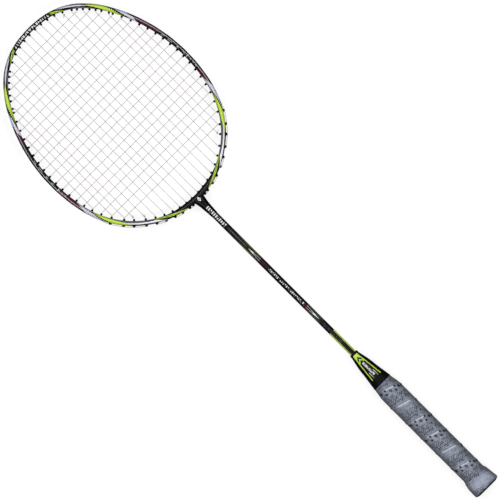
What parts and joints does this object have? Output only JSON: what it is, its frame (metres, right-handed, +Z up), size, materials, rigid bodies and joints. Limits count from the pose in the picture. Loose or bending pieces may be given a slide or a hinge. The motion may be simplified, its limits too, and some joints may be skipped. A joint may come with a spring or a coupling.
{
  "type": "badminton racket",
  "caption": "Strung badminton racket: oval hollow hoop, T-joint, thin tubular shaft and a taped handle with a flared butt cap.",
  "frame": {"origin": "under the middle of the racket's length and on its centreline, at the height of its lowest point, the butt's rim", "axes": "+Y along the shaft from the butt to the head, +X to the right with the head up, +Z up, square to the strings"},
  "size_m": [0.199, 0.675, 0.0317],
  "materials": {
    "frame_paint": "gloss",
    "neck_black": "gloss",
    "core_alloy": "satin",
    "shaft_paint": "gloss",
    "steel": "satin",
    "core_wood": "matte",
    "cone_paint": "gloss",
    "band_black": "satin",
    "grip_grey": "matte",
    "cap_black": "satin",
    "disc_black": "gloss",
    "grommet_nylon": "satin",
    "string_white": "satin"
  },
  "bodies": {
    "root": {"head_frame": "frame_paint", "t_joint_sleeve": "neck_black", "t_joint_core": "core_alloy", "shaft": "shaft_paint", "shaft_pin": "steel", "handle_core": "core_wood", "cone_cap": "cone_paint", "finishing_tape": "band_black", "grip_tape": "grip_grey", "butt_cap": "cap_black", "butt_cap_nails": "steel", "butt_disc": "disc_black", "crown_grommets": "grommet_nylon", "shoulder_grommets_left": "grommet_nylon", "shoulder_grommets_right": "grommet_nylon", "side_grommets_left": "grommet_nylon", "side_grommets_right": "grommet_nylon", "shared_grommets": "grommet_nylon", "throat_grommets": "grommet_nylon", "main_string": "string_white", "cross_string": "string_white", "main_string_knots": "string_white", "cross_string_knots": "string_white"}
  },
  "joints": []
}
